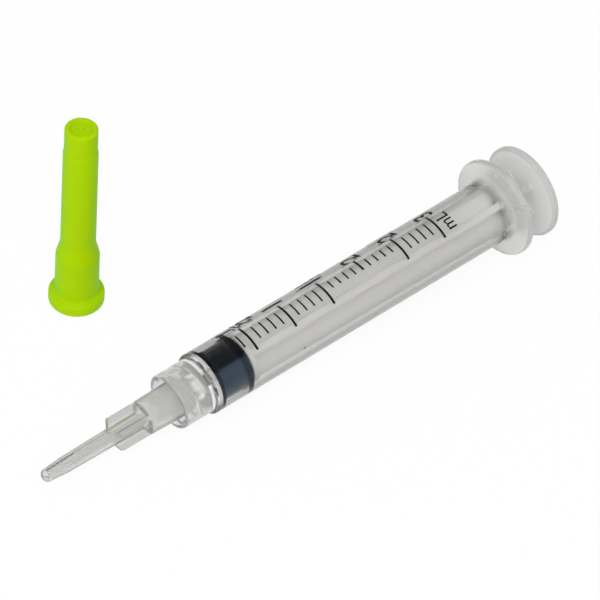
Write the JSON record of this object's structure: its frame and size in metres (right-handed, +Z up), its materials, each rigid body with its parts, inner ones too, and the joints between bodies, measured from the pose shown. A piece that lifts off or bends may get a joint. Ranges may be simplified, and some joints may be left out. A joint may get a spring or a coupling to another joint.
{
  "type": "syringe",
  "caption": "Lying 3 mL syringe with a finger flange, lock collar, ribbed plunger, rubber stopper and a blunt plastic cannula, its cap stood beside it.",
  "frame": {"origin": "centre of the footprint on the surface that the syringe and its cap rest on", "axes": "+X along the syringe from the cannula's tip to the thumb disc, +Z up"},
  "size_m": [0.1004, 0.0436, 0.037],
  "materials": {
    "barrel_clear": "translucent moulded polypropylene with black printed graduation",
    "rod_milky": "milky translucent moulded plastic",
    "stopper_rubber": "smooth siliconed black rubber",
    "cannula_clear": "clear moulded plastic",
    "cap_green": "lime green moulded polyethylene, slightly translucent",
    "scale_ink": "black pad-printed ink"
  },
  "bodies": {
    "barrel": {"barrel": "barrel_clear"},
    "plunger": {"plunger_rod": "rod_milky", "stopper": "stopper_rubber"},
    "cannula": {"cannula": "cannula_clear"},
    "cannula_cap": {"cannula_cap": "cap_green"}
  },
  "joints": [
    {"name": "plunger_slide", "type": "slide", "parent": "barrel", "child": "plunger", "axis": [0.9985, 0, 0.0549], "range_m": [0, 0.05]},
    {"name": "cannula_twist", "type": "hinge", "parent": "barrel", "child": "cannula", "pos_m": [-0.02729, -0.01315, 0.00482], "axis": [-0.9985, 0, -0.0549], "range_deg": [0, 60]},
    {"name": "cap_lift", "type": "slide", "parent": "barrel", "child": "cannula_cap", "axis": [0, 0, 1], "range_m": [0, 0.06]}
  ]
}
